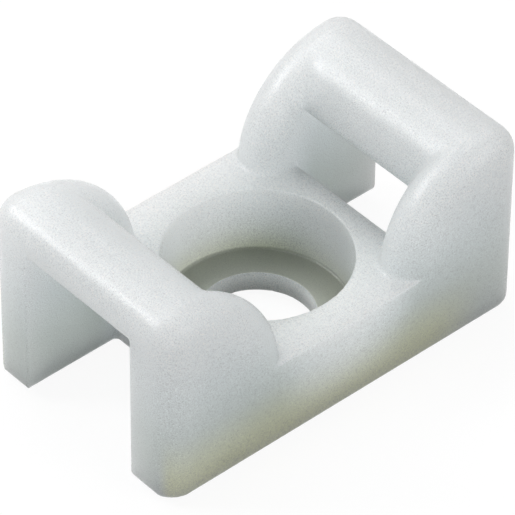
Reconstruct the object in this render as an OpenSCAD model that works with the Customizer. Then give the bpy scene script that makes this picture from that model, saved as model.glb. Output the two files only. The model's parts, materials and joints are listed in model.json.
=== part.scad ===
// Screw-fixed saddle for cable ties: one moulded piece of nylon.
// A low block carries the screw. At each end the side walls rise into rounded posts
// joined by a bar, and the tie passes under the first bar, over the block and under
// the second bar. Millimetres, +X along the tie's path, +Z up, origin on the base
// under the screw.

/* [Overall size] */
// Length over the two end walls
body_length = 22; // [20:0.5:32]
// Width over the two side walls
body_width = 12.8; // [12.4:0.2:20]
// Height from the base to the top of the bars
body_height = 10.55; // [9.5:0.05:12]

/* [Side walls and posts] */
// Thickness of each side wall, which is also the diameter of its rounded rim
wall_thickness = 2.7; // [1.5:0.1:2.7]
// Radius of each post's shoulder, seen from the side
shoulder_radius = 6.15; // [5:0.05:7]
// Distance from the end of the part to the shoulder's crest
crest_inset = 1.25; // [0.8:0.05:2]

/* [Centre block] */
// Height of the block's flat top
block_height = 4.85; // [3.5:0.05:5.2]
// Open length of the slot between the block and each end of the part
slot_length = 5.4; // [4.5:0.1:6]
// Rounding along the two upper end edges of the block
block_edge = 0.1; // [0.05:0.05:0.5]

/* [Bars] */
// Thickness of each bar, from its flat top to its underside
bar_thickness = 2.5; // [1.6:0.1:2.8]
// Radius of the turn from each bar's crest to its inner face, where cables lie
bar_saddle_radius = 2.5; // [1.8:0.1:3]
// Distance from the end of the part to the middle of that turn
bar_saddle_inset = 2.05; // [1.7:0.05:2.4]
// Lean of each bar's flat inner face from upright, in degrees
bar_lean = 34; // [28:1:40]
// Rounding along the lower outer edge, where the tie bends out of the slot
bar_lip_radius = 1; // [0.4:0.05:1]
// Rounding along the lower inner edge
bar_nose_radius = 0.2; // [0.1:0.05:0.3]

/* [Screw seat] */
// Diameter of the clearance hole for the screw
screw_hole_d = 5.7; // [3.4:0.1:6.4]
// Diameter of the recess for the screw's head
head_recess_d = 9.2; // [7:0.1:9.6]
// Thickness of the floor that the head bears on
seat_floor = 1.1; // [0.8:0.1:2]

/* [Edges] */
// Rounding round the foot of the part
foot_edge = 0.35; // [0.2:0.05:0.6]

/* [Hidden] */
$fn = 96;
rim_radius = wall_thickness / 2;
end_x = body_length / 2;
side_y = body_width / 2;
block_x = end_x - slot_length;
crest_x = end_x - crest_inset;
shoulder_z = body_height - shoulder_radius;
bar_underside = body_height - bar_thickness;
saddle_z = body_height - bar_saddle_radius;
cut_margin = 1;

function unit(v) = v / norm(v);

// What has to come off a convex corner to leave an arc of radius r.
module corner_waste(before, corner, after, r) {
    u = unit(before - corner);
    w = unit(after - corner);
    half_angle = acos(u * w) / 2;
    inward = unit(u + w);
    centre = corner + inward * r / sin(half_angle);
    reach = r / tan(half_angle);
    difference() {
        polygon([corner + u * reach, corner - inward * r, corner + w * reach, centre]);
        translate(centre) circle(r = r);
    }
}

// Convex outline with an arc at each corner. A radius of 0 leaves the corner sharp.
module rounded_outline(points, radii) {
    n = len(points);
    difference() {
        polygon(points);
        for (i = [0 : n - 1])
            if (radii[i] > 0)
                corner_waste(points[(i + n - 1) % n], points[i], points[(i + 1) % n], radii[i]);
    }
}

// Outline drawn in length and height, made into a solid that runs across the width.
module across(width) {
    rotate([90, 0, 0]) linear_extrude(height = width, center = true) children();
}

// Upright rectangle with rounded upper corners and slightly eased feet.
module eased_front(half_width) {
    rounded_outline(
        [[-half_width, 0], [half_width, 0], [half_width, body_height], [-half_width, body_height]],
        [foot_edge, foot_edge, rim_radius, rim_radius]);
}

// The rounded block that the whole part stays inside.
module envelope() {
    intersection() {
        across(body_width) eased_front(end_x);
        rotate([0, 0, 90]) across(body_length) eased_front(side_y);
        linear_extrude(height = body_height)
            rounded_outline(
                [[-end_x, -side_y], [end_x, -side_y], [end_x, side_y], [-end_x, side_y]],
                [rim_radius, rim_radius, rim_radius, rim_radius]);
    }
}

// Block between the arches. It runs the full width, so the side walls are part of it.
module centre_block() {
    across(body_width)
        rounded_outline(
            [[-block_x, 0], [block_x, 0], [block_x, block_height], [-block_x, block_height]],
            [0, 0, block_edge, block_edge]);
}

// Side wall beside one slot, with the round-rimmed shoulder that makes it a post.
// The same section is extruded for the wall's foot and turned a quarter for its shoulder.
module post() {
    translate([crest_x, side_y - rim_radius, 0]) {
        rotate([0, 0, 180]) linear_extrude(height = shoulder_z) shoulder_section();
        translate([0, 0, shoulder_z]) rotate([90, 0, 0]) rotate([0, 0, 90])
            rotate_extrude(angle = 90) shoulder_section();
        translate([0, -rim_radius, 0]) cube([crest_inset, wall_thickness, body_height]);
    }
}

// Flat wall, as long as the shoulder's radius, that ends in a full round.
module shoulder_section() {
    translate([0, -rim_radius]) square([shoulder_radius - rim_radius, wall_thickness]);
    translate([shoulder_radius - rim_radius, 0]) circle(r = rim_radius);
}

// Bar over one slot, from the crest of one post to the crest of the other.
module bar() {
    across(body_width - wall_thickness) bar_section();
}

// Flat underside, upright end face, flat crest, and a turn into a leaning inner face.
module bar_section() {
    turn_x = end_x - bar_saddle_inset;
    face_run = (bar_saddle_radius - (bar_underside - saddle_z) * sin(bar_lean)) / cos(bar_lean);
    nose_corner = [turn_x - face_run, bar_underside];
    crest_run = bar_saddle_radius * tan(45 - bar_lean / 2);
    crest_corner = [turn_x - crest_run, body_height];
    rounded_outline(
        [crest_corner, nose_corner, [end_x, bar_underside], [end_x, body_height]],
        [bar_saddle_radius, bar_nose_radius, bar_lip_radius, 0]);
}

module arch() {
    for (side = [0, 1]) mirror([0, side, 0]) post();
    bar();
}

// Stepped hole for the screw, open at the top and the base.
module screw_seat() {
    translate([0, 0, seat_floor]) cylinder(d = head_recess_d, h = body_height);
    translate([0, 0, -cut_margin]) cylinder(d = screw_hole_d, h = body_height);
}

module mount_body() {
    color("#dde3e0")
        difference() {
            intersection() {
                union() {
                    centre_block();
                    for (end = [0, 1]) mirror([end, 0, 0]) arch();
                }
                envelope();
            }
            screw_seat();
        }
}

mount_body();
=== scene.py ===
"""Cable tie mount: a one-piece nylon saddle that a screw fixes down and a cable tie threads through.

The file is laid out as a Blender add-on and is run as a script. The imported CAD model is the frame. The
moulded skin built here stands for its one node, keeps its sizes, and adds the small moulded radii that the
node leaves out. All lengths are metres in the row frame: X along the tie's path, Y across the part, Z up out
of the screw seat.
"""

import json
import math
from types import SimpleNamespace

import bpy
import numpy as np
from bpy.props import FloatProperty, FloatVectorProperty, PointerProperty
from mathutils import Matrix, Vector


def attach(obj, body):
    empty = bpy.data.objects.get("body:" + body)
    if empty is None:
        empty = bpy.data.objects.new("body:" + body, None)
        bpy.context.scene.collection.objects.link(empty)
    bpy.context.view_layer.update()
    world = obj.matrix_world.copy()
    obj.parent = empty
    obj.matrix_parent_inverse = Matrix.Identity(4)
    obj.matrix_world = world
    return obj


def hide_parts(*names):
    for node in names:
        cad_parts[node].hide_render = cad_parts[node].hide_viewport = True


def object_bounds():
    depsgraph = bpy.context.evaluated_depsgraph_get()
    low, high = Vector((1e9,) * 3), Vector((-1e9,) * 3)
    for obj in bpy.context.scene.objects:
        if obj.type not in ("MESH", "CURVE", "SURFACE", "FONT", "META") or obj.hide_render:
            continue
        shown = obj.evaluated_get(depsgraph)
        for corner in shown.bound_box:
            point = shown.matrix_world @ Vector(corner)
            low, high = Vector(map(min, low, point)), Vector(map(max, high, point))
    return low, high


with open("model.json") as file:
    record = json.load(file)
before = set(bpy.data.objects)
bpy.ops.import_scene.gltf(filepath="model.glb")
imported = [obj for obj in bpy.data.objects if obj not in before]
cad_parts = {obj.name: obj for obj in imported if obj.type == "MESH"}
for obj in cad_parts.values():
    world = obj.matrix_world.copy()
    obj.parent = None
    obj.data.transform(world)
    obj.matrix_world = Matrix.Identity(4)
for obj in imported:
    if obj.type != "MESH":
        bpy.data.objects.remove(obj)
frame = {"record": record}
CAD_LOW, CAD_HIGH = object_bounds()

bl_info = {
    "name": "Cable Tie Mount",
    "version": (1, 0, 0),
    "blender": (4, 5, 0),
    "location": "3D View > Sidebar > Tie Mount",
    "description": "Builds a screw-fixed cable tie mount in natural nylon, with its studio",
    "category": "Add Mesh",
}

MM = 0.001
NODE = "mount_body"

# The CAD model's box and the radii of its bores in millimetres, as defaults for the skin's.
LENGTH, WIDTH, HEIGHT = (edge / MM for edge in CAD_HIGH - CAD_LOW)
BORES = {m["name"]: m["dims"]["r_mm"] for m in frame["record"]["mounts"] if m["kind"] == "bore"}

# Each lamp's name, its azimuth and elevation in degrees, and its side in millimetres.
LAMPS = (
    ("key", -137, 38, 120),
    ("back", 180, 62, 400),
    ("left", -45, 12, 200),
    ("front", 22, 35, 250),
    ("right", 90, 62, 300),
)
LAMP_DISTANCE = 400 * MM

# A colour mix's sockets: its share, its two colours and its result.
MIX_SHARE, MIX_FIRST, MIX_SECOND, MIXED = 0, 6, 7, 2


def linear(hex_colour):
    """The linear RGB of an sRGB hex colour.

    Formula: c / 12.92 up to 0.04045, and ((c + 0.055) / 1.055) ** 2.4 above it.
    """
    parts = [int(hex_colour[i : i + 2], 16) / 255 for i in (1, 3, 5)]
    return tuple(c / 12.92 if c <= 0.04045 else ((c + 0.055) / 1.055) ** 2.4 for c in parts)


def length(name, description, millimetres):
    """A length property in metres, given in millimetres."""
    default = millimetres * MM
    return FloatProperty(name=name, description=description, default=default, unit="LENGTH", precision=5)


def angle(name, description, degrees):
    """An angle property in radians, given in degrees."""
    return FloatProperty(name=name, description=description, default=math.radians(degrees), unit="ROTATION")


def colour(name, description, hex_colour):
    """A colour property, given as an sRGB hex colour."""
    default = linear(hex_colour)
    return FloatVectorProperty(
        name=name, description=description, default=default, subtype="COLOR", size=3, min=0.0, max=1.0
    )


def amount(name, description, value):
    """A plain number property."""
    return FloatProperty(name=name, description=description, default=value, min=0.0, precision=3)


# ---------------------------------------------------------------- properties


class TieMountSizes(bpy.types.PropertyGroup):
    """The mount's lengths, with the CAD frame's own box and bores as defaults where it has them."""

    body_length: length("Body Length", "Along the tie's path, end face to end face", LENGTH)
    body_width: length("Body Width", "Across the part, side to side", WIDTH)
    body_height: length("Body Height", "From the underside to the crest of the posts", HEIGHT)
    wall: length("Wall Thickness", "Of the four posts, across the part", 2.7)
    shoulder: length("Shoulder Radius", "Of the quarter turn from a post's inner edge to its crest", 6.15)
    crest_inset: length("Crest Inset", "From the end face to where the shoulder starts to fall", 1.25)
    block_height: length("Block Height", "From the underside to the deck round the recess", 4.85)
    slot: length("Slot Length", "From the end face in to the centre block", 5.4)
    bar_underside: length("Bar Underside", "From the mount's underside up to the end bar", 8.05)
    saddle: length("Bar Saddle Radius", "Of the turn from the bar's crest to its leaning inner face", 2.5)
    saddle_inset: length("Saddle Inset", "From the end face to the middle of the saddle's turn", 2.05)
    lean: angle("Bar Lean", "Of the bar's inner face, from upright", 34)
    lip: length("Bar Lip Radius", "Of the bar's lower edge at the end face", 1.0)
    nose: length("Bar Nose Radius", "Of the bar's lower edge at the inner face", 0.2)
    recess_radius: length("Head Recess Radius", "Of the recess for the screw's head", BORES["head_recess"])
    hole_radius: length("Screw Hole Radius", "Of the screw's hole", BORES["screw_hole"])
    seat_floor: length("Seat Floor", "Thickness of nylon under the screw's head", 1.1)
    seat_fillet: length("Seat Fillet", "Fillet between the recess wall and the seat floor", 0.12)
    foot_edge: length("Foot Edge", "Radius round the bottom of the outline", 0.35)
    slot_foot: length("Slot Foot", "Radius where the slot's sides turn under into the underside", 0.55)
    deck_edge: length("Deck Edge", "Radius where the deck meets the slots and the sides", 0.1)
    rim_edge: length("Rim Edge", "Radius round the recess and the screw hole", 0.07)
    foot_fillet: length("Foot Fillet", "Soft fillet where the posts rise from the deck", 0.25)
    slot_fillet: length("Slot Fillet", "Fillet in the slot's corners, under the bar", 0.15)
    wall_edge: length("Wall Edge", "Radius of the walls' inner upright edges at the end face", 0.15)
    grid: length("Grid Step", "Spacing of the grid that the skin is drawn on", 0.14)


class TieMountFinish(bpy.types.PropertyGroup):
    """The nylon's colours, the shade that is painted into them, and its surface."""

    nylon: colour("Nylon", "Natural nylon, cool and milky", "#E8F2F6")
    # Painted shade: the long sides low in the block, away from the +X end, and the lower recess wall are
    # painted darker and ivory. It fades out by the ivory height.
    ivory_painted_shade: colour("Nylon, Ivory", "Low in the block, where light has travelled furthest", "#CBCEA4")
    ivory_shade_height: length("Ivory Height", "Where the ivory has faded out, above the underside", 4.2)
    # Painted shade: the upright faces of the thick lower part are painted darker, fading out by the thick
    # height. Inside the web radius they are left pale, which stands for light coming through from the recess.
    thick_painted_shade: colour("Nylon, Thick", "Sides of the thick part, which give back less light", "#BAC2BE")
    thick_shade_height: length("Thick Height", "Where the sides are as pale as the rest again", 9.5)
    web_radius: length("Web Radius", "Round the recess, where its light comes through the sides", 5.9)
    # Painted shade: the seat floor in the recess is painted dark.
    seat_painted_shade: colour("Nylon, Thin", "The seat floor, which light passes through and leaves", "#A5A99A")
    scatter: length("Scatter Depth", "How far light travels under the skin", 12.0)
    # Real pits are about 0.05 mm across and 0.01 mm deep. They are drawn a little wider, so that they show.
    grain: length("Grain Width", "Across one spark-eroded pit of the mould's finish", 0.065)
    grain_height: length("Grain Height", "Depth of the mould's finish", 0.011)
    grain_tone: amount("Grain Tone", "How much darker a pit looks than the skin round it", 0.3)
    rough: amount("Roughness of the Pits", "Where the grain is lowest", 0.45)
    polished: amount("Roughness of the Crests", "Where the grain is highest", 0.14)


class TieMountStage(bpy.types.PropertyGroup):
    """The studio: how the camera stands and how brightly each lamp lights a white card at the mount."""

    azimuth: angle("Camera Azimuth", "Round the mount from its near side", -41.6751)
    elevation: angle("Camera Elevation", "Above the ground", 41.9162)
    roll: angle("Camera Roll", "Turn about its own line of sight", 0.5707)
    distance: length("Camera Distance", "From the mount's middle height", 231.7081)
    aside: length("Camera Aside", "Step to the right of the line to the mount", -0.0086)
    above: length("Camera Above", "Step up from the line to the mount", -0.2657)
    look_height: length("Look Height", "Height of the point that the distance is measured from", 5.0)
    lens: amount("Focal Length", "In sensor widths", 9.6113)
    floor_size: length("Floor Size", "Side of the floor", 2000)
    floor: colour("Floor", "Pale matt paper", "#DADADA")
    floor_lift: amount("Floor Lift", "How far the paper is lifted to white where it is seen directly", 0.85)
    floor_glow: amount("Floor Glow", "Of the lift, so that paper and lift together are white", 1.08)
    floor_gap: length("Floor Gap", "Air between the floor and the mount's underside", 0.35)
    sky: amount("Sky Level", "Of the even light from all round", 0.145)
    key: amount("Key Lamp Level", "Of the small lamp behind and to the left", 0.32)
    back: amount("Back Lamp Level", "Of the broad lamp high behind", 0.57)
    left: amount("Left Lamp Level", "Of the low lamp in front and to the left", 0.1)
    front: amount("Front Lamp Level", "Of the lamp in front", 0.25)
    right: amount("Right Lamp Level", "Of the broad lamp high on the right", 0.06)


# ---------------------------------------------------------------- the shape as a field


def rounded_meet(u, v, radius):
    """The part common to two fields, with the edge between them rounded.

    Formula: the smaller of -r and the larger of u and v, plus the length of (u + r, v + r), where each of the
    two counts only if it is positive.
    """
    past_edge = np.hypot(np.maximum(u + radius, 0), np.maximum(v + radius, 0))
    return np.minimum(np.maximum(u, v), -radius) + past_edge


def filleted_join(u, v, radius):
    """Two fields joined, with a fillet in the corner between them: rounded_meet turned inside out."""
    return -rounded_meet(-u, -v, radius)


def mount_field(x, y, z, s):
    """Signed distance to the mount's surface, negative in the nylon, at arrays of points.

    Formula: both posts of an end are one shoulder (a quarter turn about a line across the crest) less the gap
    between the walls. The bar turns from its crest into a leaning inner face, and is cut flat underneath. The
    block is a box. All are filleted together and met with the rounded outline, and the stepped hole is taken
    out. The part is the same in all four quarters, so the field is worked out for |x| and |y|.
    """
    along, across = np.abs(x), np.abs(y)
    rim = s.wall / 2
    end, side, top = along - s.body_length / 2, across - s.body_width / 2, z - s.body_height

    crest = s.body_length / 2 - s.crest_inset
    shoulder_z = s.body_height - s.shoulder
    shoulder = np.hypot(np.maximum(crest - along, 0), np.maximum(z - shoulder_z, 0)) - s.shoulder
    wall = s.body_width / 2 - s.wall - across
    posts = np.maximum(rounded_meet(shoulder, side, rim), rounded_meet(shoulder, wall, rim))
    posts = np.maximum(posts, rounded_meet(rounded_meet(end, wall, s.wall_edge), -z, s.slot_foot))

    inward, up = s.body_length / 2 - s.saddle_inset - along, z - (s.body_height - s.saddle)
    past_turn = inward * math.sin(s.lean) - up * math.cos(s.lean)
    leaning = inward * math.cos(s.lean) + up * math.sin(s.lean)
    turn = np.where(inward < 0, up, np.where(past_turn > 0, leaning, np.hypot(inward, up)))
    over = np.maximum(turn - s.saddle, rounded_meet(top, end, rim))
    lower_edge = np.where(inward < 0, s.lip, s.nose)
    bar = np.maximum(rounded_meet(over, s.bar_underside - z, lower_edge), side + rim)

    slot_end = along - (s.body_length / 2 - s.slot)
    block = rounded_meet(rounded_meet(slot_end, z - s.block_height, s.deck_edge), side, s.deck_edge)
    block = np.maximum(block, rounded_meet(slot_end, -z, s.slot_foot))
    solid = filleted_join(filleted_join(posts, bar, s.slot_fillet), block, s.foot_fillet)
    outline = rounded_meet(rounded_meet(rounded_meet(top, end, rim), side, rim), -z, s.foot_edge)
    solid = np.maximum(solid, outline)

    radius = np.hypot(x, y)
    above_floor = filleted_join(s.recess_radius - radius, z - s.seat_floor, s.seat_fillet)
    kept = rounded_meet(above_floor, s.hole_radius - radius, s.rim_edge)
    return rounded_meet(solid, kept, s.rim_edge)


def slope(field, points, reach, tiny=1e-12):
    """Unit gradient of a field at an array of points.

    Formula: on each axis, the field a short reach ahead less the field as far behind, all divided by the
    length of the three.
    """

    def value(places):
        return field(*np.moveaxis(places, -1, 0))

    gradient = np.stack([value(points + step) - value(points - step) for step in np.eye(3) * reach], axis=-1)
    return gradient / np.maximum(np.linalg.norm(gradient, axis=-1, keepdims=True), tiny)


# ---------------------------------------------------------------- the field as a mesh


def grid_lines(low, high, step, plain=()):
    """Lines from low to high, a step apart, and three times as far apart inside the plain spans."""
    marks = sorted({low, high, *(edge for span in plain for edge in span)})
    runs = []
    for start, stop in zip(marks, marks[1:]):
        wide = any(a <= start and stop <= b for a, b in plain)
        count = max(1, round((stop - start) / (step * (3 if wide else 1))))
        runs.append(np.linspace(start, stop, count, endpoint=False))
    return np.concatenate([*runs, [high]])


def surface_crossings(field, lines, values, axis, rounds=5):
    """Where the surface crosses the grid edges that run along one axis.

    Formula: on each edge whose ends differ in sign, the field is taken as straight between its ends and the
    zero of that line replaces the end on its own side, a few rounds over. Gives the points, the four cells
    round each edge in right-handed order about the axis, and whether the nylon is on the edge's lower side.
    """
    count = values.shape[axis]
    first, second = np.take(values, range(count - 1), axis), np.take(values, range(1, count), axis)
    at = np.argwhere((first < 0) != (second < 0))
    points = np.stack([lines[k][at[:, k]] for k in range(3)], axis=1)
    near, far = points[:, axis].copy(), lines[axis][at[:, axis] + 1]
    near_value, far_value = first[tuple(at.T)], second[tuple(at.T)]
    rising = near_value < 0
    for _ in range(rounds):
        points[:, axis] = near + (far - near) * near_value / (near_value - far_value)
        value = field(*points.T)
        same = (value < 0) == rising
        near, near_value = np.where(same, points[:, axis], near), np.where(same, value, near_value)
        far, far_value = np.where(same, far, points[:, axis]), np.where(same, far_value, value)
    cells = np.repeat(at[:, None, :], 4, axis=1)
    cells[:, :, (axis + 1) % 3] -= [1, 0, 0, 1]
    cells[:, :, (axis + 2) % 3] -= [1, 1, 0, 0]
    return points, cells, rising


def contour(field, lines, reach, hold=0.02):
    """The zero surface of a field as vertices and outward triangles.

    Formula: a cell that the surface passes through holds one vertex, at the point nearest to all the tangent
    planes where the surface crosses the cell's edges (least squares, held lightly to the mean of those points
    and kept in the cell), so a vertex lies on an edge or corner of the shape where the cell has one. Each
    crossed grid edge joins its four cells in a quad, which is split along the diagonal whose middle lies
    nearer to the surface.
    """
    values = field(*np.meshgrid(*lines, indexing="ij", sparse=True))
    found = [surface_crossings(field, lines, values, axis) for axis in range(3)]
    points, cells, rising = (np.concatenate(part) for part in zip(*found))
    normals = slope(field, points, reach)
    shape = [len(line) - 1 for line in lines]
    cell_numbers = np.ravel_multi_index(tuple(np.moveaxis(cells, -1, 0)), shape)
    ids, quads = np.unique(cell_numbers, return_inverse=True)
    quads = quads.reshape(-1, 4)

    def summed(per_crossing):
        """For each cell, the total over the crossings on its edges."""
        spread = np.repeat(per_crossing.reshape(len(points), -1), 4, axis=0)
        totals = [np.bincount(quads.ravel(), weights=column, minlength=len(ids)) for column in spread.T]
        return np.stack(totals, axis=1).reshape(len(ids), *per_crossing.shape[1:])

    middle = summed(points) / summed(np.ones((len(points), 1)))
    planes = summed(normals[:, :, None] * normals[:, None, :])
    pulls = summed(normals * np.sum(normals * points, axis=1, keepdims=True))
    pulls -= np.einsum("nij,nj->ni", planes, middle)
    vertices = middle + np.linalg.solve(planes + hold * np.eye(3), pulls[:, :, None])[:, :, 0]
    corner = np.stack(np.unravel_index(ids, shape), axis=1)
    low = np.stack([lines[k][corner[:, k]] for k in range(3)], axis=1)
    high = np.stack([lines[k][corner[:, k] + 1] for k in range(3)], axis=1)
    vertices = np.clip(vertices, low, high)

    quads = np.where(rising[:, None], quads, quads[:, ::-1])
    a, b, c, d = (vertices[quads[:, k]] for k in range(4))
    first_error = np.abs(field(*((a + c) / 2).T))
    second_error = np.abs(field(*((b + d) / 2).T))
    turned = np.where((second_error < first_error)[:, None], np.roll(quads, -1, axis=1), quads)
    return vertices, np.concatenate([turned[:, [0, 1, 2]], turned[:, [0, 2, 3]]])


def skin_mesh(name, field, vertices, triangles, reach):
    """A mesh with the field's own normals at its corners.

    Formula: each corner's normal is the field's gradient at a point a third of the way from the corner to the
    middle of its triangle, so a sharp edge stays crisp, a small radius shades as round, and a flat face stays
    flat.
    """
    mesh = bpy.data.meshes.new(name)
    mesh.from_pydata(vertices, [], triangles)
    corners = vertices[triangles]
    inward = corners + (corners.mean(axis=1, keepdims=True) - corners) / 3
    mesh.polygons.foreach_set("use_smooth", np.ones(len(triangles), bool))
    mesh.normals_split_custom_set(slope(field, inward, reach).reshape(-1, 3))
    mesh.update()
    return mesh


def sizes_of(group):
    """A property group's values as plain numbers, in the precision that numpy works in."""
    return SimpleNamespace(**{key: round(getattr(group, key), 9) for key in group.__annotations__})


# ---------------------------------------------------------------- materials


def add_node(tree, kind, inputs=(), **settings):
    """Adds a node. Settings are its own properties; inputs map a socket to a value or to a socket to link."""
    node = tree.nodes.new(kind)
    for name, value in settings.items():
        setattr(node, name, value)
    for name, value in dict(inputs).items():
        if isinstance(value, bpy.types.NodeSocket):
            tree.links.new(value, node.inputs[name])
        else:
            node.inputs[name].default_value = value
    return node


def empty_material(name):
    """A new node material and its node tree, with nothing in it."""
    material = bpy.data.materials.new(name)
    material.use_nodes = True
    material.node_tree.nodes.clear()
    return material, material.node_tree


def moulded_nylon(finish, sizes):
    """Natural PA66, injection moulded in a spark-eroded cavity.

    The eye sees a milky, slightly see-through solid: light goes in, wanders far and comes out softened. Shade
    is also painted into the colour. The long sides and the lower recess wall are painted darker and ivory
    near the foot. The upright sides of the thick lower part are painted darker, except round the recess,
    where they are left pale as if lit through. The seat floor is painted dark. Over that lies a fine even
    grain of pits that breaks every highlight up into sparks.
    """
    material, tree = empty_material("moulded_natural_nylon")
    coordinates = add_node(tree, "ShaderNodeTexCoord").outputs
    place = add_node(tree, "ShaderNodeSeparateXYZ", {"Vector": coordinates["Object"]}).outputs
    normal = add_node(tree, "ShaderNodeSeparateXYZ", {"Vector": coordinates["Normal"]}).outputs
    flat = add_node(tree, "ShaderNodeCombineXYZ", {"X": place["X"], "Y": place["Y"]}).outputs["Vector"]
    radius = add_node(tree, "ShaderNodeVectorMath", {0: flat}, operation="LENGTH").outputs["Value"]
    along, height = place["X"], place["Z"]
    across, sideways, level = (
        add_node(tree, "ShaderNodeMath", {0: value}, operation="ABSOLUTE").outputs["Value"]
        for value in (place["Y"], normal["Y"], normal["Z"])
    )

    # Each span is a value, where it starts to count and where it counts in full.
    end, side = sizes.body_length / 2, sizes.body_width / 2
    off_bore = (radius, sizes.hole_radius, sizes.hole_radius + 0.1 * MM)
    in_recess = (radius, sizes.recess_radius + 0.06 * MM, sizes.recess_radius - 0.02 * MM)
    on_floor = (height, sizes.seat_floor + 0.2 * MM, sizes.seat_floor + 0.05 * MM)
    low = (height, finish.thick_shade_height, 2 * MM)
    off_web = (radius, finish.web_radius, finish.web_radius + 2 * MM)
    upright = (level, 0.8, 0.3)
    foot = (height, finish.ivory_shade_height, 0)
    off_right_end = (along, end - 2 * MM, end - 6 * MM)
    at_side = (across, side - 1.4 * MM, side - 0.4 * MM)
    faces_side = (sideways, 0.3, 0.8)

    # Each part is painted shade: a part takes its own shade where all of its spans count. The thick part's
    # upright sides are painted darker low down but left pale round the recess. The long sides near the foot
    # and the lower recess wall are painted darker and ivory. The seat floor is painted dark.
    tint = (*finish.nylon, 1)
    for shade, spans in (
        (finish.thick_painted_shade, (low, off_web, upright)),
        (finish.ivory_painted_shade, (foot, off_right_end, at_side, faces_side)),
        (finish.ivory_painted_shade, (foot, off_bore, in_recess)),
        (finish.seat_painted_shade, (on_floor, off_bore, in_recess)),
    ):
        share = 1.0
        for value, start, full in spans:
            rise = {"Value": value, "From Min": start, "From Max": full, "To Max": share}
            step = add_node(tree, "ShaderNodeMapRange", rise, interpolation_type="SMOOTHSTEP")
            share = step.outputs["Result"]
        blend = {MIX_SHARE: share, MIX_FIRST: tint, MIX_SECOND: (*shade, 1)}
        tint = add_node(tree, "ShaderNodeMix", blend, data_type="RGBA").outputs[MIXED]

    noise = {"Vector": coordinates["Object"], "Scale": 1 / finish.grain, "Detail": 2.0, "Roughness": 0.7}
    pits = add_node(tree, "ShaderNodeTexNoise", noise).outputs["Fac"]
    dark, pale = 1 - finish.grain_tone, 1 + finish.grain_tone
    tones = {"Value": pits, "From Min": 0.3, "From Max": 0.7, "To Min": dark, "To Max": pale}
    tone = add_node(tree, "ShaderNodeMapRange", tones).outputs["Result"]
    mottle = {MIX_SHARE: 1.0, MIX_FIRST: tint, MIX_SECOND: tone}
    rough, polished = finish.rough, finish.polished
    gloss = {"Value": pits, "From Min": 0.35, "From Max": 0.65, "To Min": rough, "To Max": polished}
    relief = {"Height": pits, "Strength": 1.0, "Distance": finish.grain_height}
    mottled = add_node(tree, "ShaderNodeMix", mottle, data_type="RGBA", blend_type="MULTIPLY")
    skin = {
        "Base Color": mottled.outputs[MIXED],
        "Roughness": add_node(tree, "ShaderNodeMapRange", gloss).outputs["Result"],
        "IOR": 1.53,
        "Normal": add_node(tree, "ShaderNodeBump", relief).outputs["Normal"],
        "Subsurface Weight": 1.0,
        "Subsurface Radius": (1.0, 1.0, 1.0),
        "Subsurface Scale": finish.scatter,
    }
    surface = add_node(tree, "ShaderNodeBsdfPrincipled", skin).outputs["BSDF"]
    add_node(tree, "ShaderNodeOutputMaterial", {"Surface": surface})
    return material


def seen_directly(tree):
    """1 for what the camera sees, straight or by gloss or glass, and 0 for the light that the scene lends."""
    path = add_node(tree, "ShaderNodeLightPath").outputs
    seen = 0.0
    for ray in ("Is Camera Ray", "Is Glossy Ray", "Is Transmission Ray"):
        seen = add_node(tree, "ShaderNodeMath", {0: seen, 1: path[ray]}, operation="MAXIMUM").outputs["Value"]
    return seen


def studio_floor(stage):
    """Matt paper. Seen directly it is lifted to white, and it still darkens where the mount shades it."""
    material, tree = empty_material("studio_paper")
    paper = add_node(tree, "ShaderNodeBsdfDiffuse", {"Color": (*stage.floor, 1)}).outputs["BSDF"]
    glow = add_node(tree, "ShaderNodeEmission", {"Strength": stage.floor_glow}).outputs["Emission"]
    lifted = {0: seen_directly(tree), 1: stage.floor_lift}
    share = add_node(tree, "ShaderNodeMath", lifted, operation="MULTIPLY").outputs["Value"]
    surface = add_node(tree, "ShaderNodeMixShader", {0: share, 1: paper, 2: glow}).outputs["Shader"]
    add_node(tree, "ShaderNodeOutputMaterial", {"Surface": surface})
    return material


# ---------------------------------------------------------------- operators


def bearing(azimuth, elevation):
    """Unit vector from the mount: azimuth turns from the near side towards +X, elevation rises from level.

    Formula: (sin a cos e, -cos a cos e, sin e).
    """
    level = math.cos(elevation)
    return Vector((math.sin(azimuth) * level, -math.cos(azimuth) * level, math.sin(elevation)))


class TIEMOUNT_OT_body(bpy.types.Operator):
    """Build the moulded body and hide the CAD node that it stands for"""

    bl_idname = "tie_mount.body"
    bl_label = "Moulded Body"

    def execute(self, context):
        sizes = sizes_of(context.scene.tie_mount_sizes)

        def field(x, y, z):
            return mount_field(x, y, z, sizes)

        # The outermost lines lie off the box by part of a step, so that no end face lies on a line. Heights
        # where the surface hardly changes have their lines further apart: under the seat floor, and from
        # there up to a little below the deck.
        margin = 0.6 * sizes.grid
        end, side = sizes.body_length / 2 + margin, sizes.body_width / 2 + margin
        under_seat = (sizes.slot_foot + 0.05 * MM, sizes.seat_floor - 0.2 * MM)
        under_deck = (sizes.seat_floor + 0.25 * MM, sizes.block_height - 0.5 * MM)
        lines = [
            grid_lines(-end, end, sizes.grid),
            grid_lines(-side, side, sizes.grid),
            grid_lines(-margin, sizes.body_height + margin, sizes.grid, (under_seat, under_deck)),
        ]

        reach = 0.01 * MM
        vertices, triangles = contour(field, lines, reach)
        mesh = skin_mesh("moulded_body", field, vertices, triangles, reach)
        body = bpy.data.objects.new("moulded_body", mesh)
        context.scene.collection.objects.link(body)
        body.data.materials.append(moulded_nylon(context.scene.tie_mount_finish, sizes))
        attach(body, "root")
        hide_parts(NODE)
        return {"FINISHED"}


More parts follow.
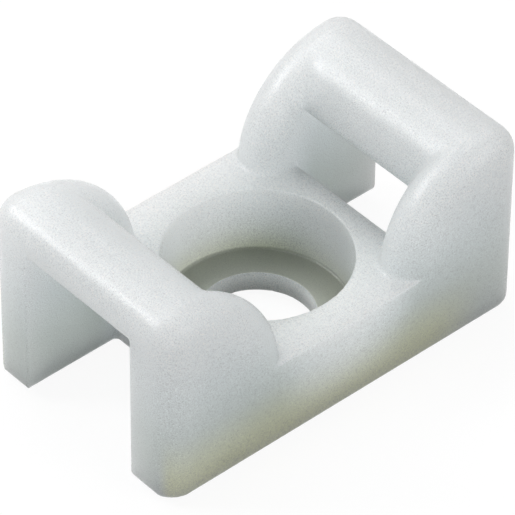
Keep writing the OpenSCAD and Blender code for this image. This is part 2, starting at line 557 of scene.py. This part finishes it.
class TIEMOUNT_OT_stage(bpy.types.Operator):
    """Lay the floor, hang the lamps and stand the camera"""

    bl_idname = "tie_mount.stage"
    bl_label = "Studio"

    def execute(self, context):
        stage = context.scene.tie_mount_stage
        self.lay_floor(context, stage)
        for name, azimuth, elevation, side in LAMPS:
            toward = bearing(math.radians(azimuth), math.radians(elevation))
            self.hang_lamp(context, f"{name}_lamp", toward, side * MM, getattr(stage, name))
        self.light_sky(context, stage.sky)
        self.stand_camera(context, stage)
        context.scene.view_settings.view_transform = "Standard"
        return {"FINISHED"}

    @staticmethod
    def lay_floor(context, stage):
        """A square of paper a little under the mount, so that light reaches the mount's foot."""
        mesh = bpy.data.meshes.new("studio_floor")
        corners = np.array([(-1, -1, 0), (1, -1, 0), (1, 1, 0), (-1, 1, 0)]) * stage.floor_size / 2
        mesh.from_pydata(corners - (0, 0, stage.floor_gap), [], [(0, 1, 2, 3)])
        floor = bpy.data.objects.new("studio_floor", mesh)
        context.scene.collection.objects.link(floor)
        floor.data.materials.append(studio_floor(stage))

    @staticmethod
    def hang_lamp(context, name, toward, side, level):
        """A square lamp that faces the mount. A level of 1 shows a white card there at its own colour.

        Formula: the power is the level times pi squared times the distance squared.
        """
        lamp = bpy.data.objects.new(name, bpy.data.lights.new(name, "AREA"))
        context.scene.collection.objects.link(lamp)
        lamp.data.size = side
        lamp.data.energy = level * math.pi**2 * LAMP_DISTANCE**2
        lamp.location = toward * LAMP_DISTANCE
        lamp.rotation_euler = toward.to_track_quat("Z", "Y").to_euler()

    @staticmethod
    def light_sky(context, level):
        """Even light from all round, seen as white."""
        world = bpy.data.worlds.new("studio_sky")
        context.scene.world = world
        world.use_nodes = True
        tree = world.node_tree
        tree.nodes.clear()
        levels = {"Value": seen_directly(tree), "To Min": level, "To Max": 1.0}
        strength = add_node(tree, "ShaderNodeMapRange", levels).outputs["Result"]
        sky = add_node(tree, "ShaderNodeBackground", {"Color": (1, 1, 1, 1), "Strength": strength})
        add_node(tree, "ShaderNodeOutputWorld", {"Surface": sky.outputs["Background"]})

    @staticmethod
    def stand_camera(context, stage):
        """The camera looks back along a line that rises from the mount's middle at the stage's two angles."""
        back = bearing(stage.azimuth, stage.elevation)
        right = bearing(stage.azimuth + math.pi / 2, 0)
        up = back.cross(right)
        camera = bpy.data.objects.new("camera", bpy.data.cameras.new("camera"))
        context.scene.collection.objects.link(camera)
        turn = Matrix((right, up, back)).transposed().to_4x4() @ Matrix.Rotation(stage.roll, 4, "Z")
        middle = Vector((0, 0, stage.look_height))
        place = middle + back * stage.distance + right * stage.aside + up * stage.above
        camera.matrix_world = Matrix.Translation(place) @ turn
        camera.data.lens = stage.lens * camera.data.sensor_width
        camera.data.clip_start = stage.distance / 10
        context.scene.camera = camera


class TIEMOUNT_PT_sidebar(bpy.types.Panel):
    """The mount's operators and values"""

    bl_idname = "TIEMOUNT_PT_sidebar"
    bl_label = "Cable Tie Mount"
    bl_space_type = "VIEW_3D"
    bl_region_type = "UI"
    bl_category = "Tie Mount"

    def draw(self, context):
        for operator in OPERATORS:
            self.layout.operator(operator.bl_idname)
        for name in GROUPS:
            group = getattr(context.scene, name)
            column = self.layout.column(align=True)
            for key in group.__annotations__:
                column.prop(group, key)


GROUPS = {
    "tie_mount_sizes": TieMountSizes,
    "tie_mount_finish": TieMountFinish,
    "tie_mount_stage": TieMountStage,
}
OPERATORS = (TIEMOUNT_OT_body, TIEMOUNT_OT_stage)
CLASSES = (*GROUPS.values(), *OPERATORS, TIEMOUNT_PT_sidebar)


def register():
    for cls in CLASSES:
        bpy.utils.register_class(cls)
    for name, group in GROUPS.items():
        setattr(bpy.types.Scene, name, PointerProperty(type=group))


def unregister():
    for name in GROUPS:
        delattr(bpy.types.Scene, name)
    for cls in reversed(CLASSES):
        bpy.utils.unregister_class(cls)


def main():
    """Registers the add-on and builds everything."""
    register()
    bpy.ops.tie_mount.stage()
    bpy.ops.tie_mount.body()


if __name__ == "__main__":
    main()
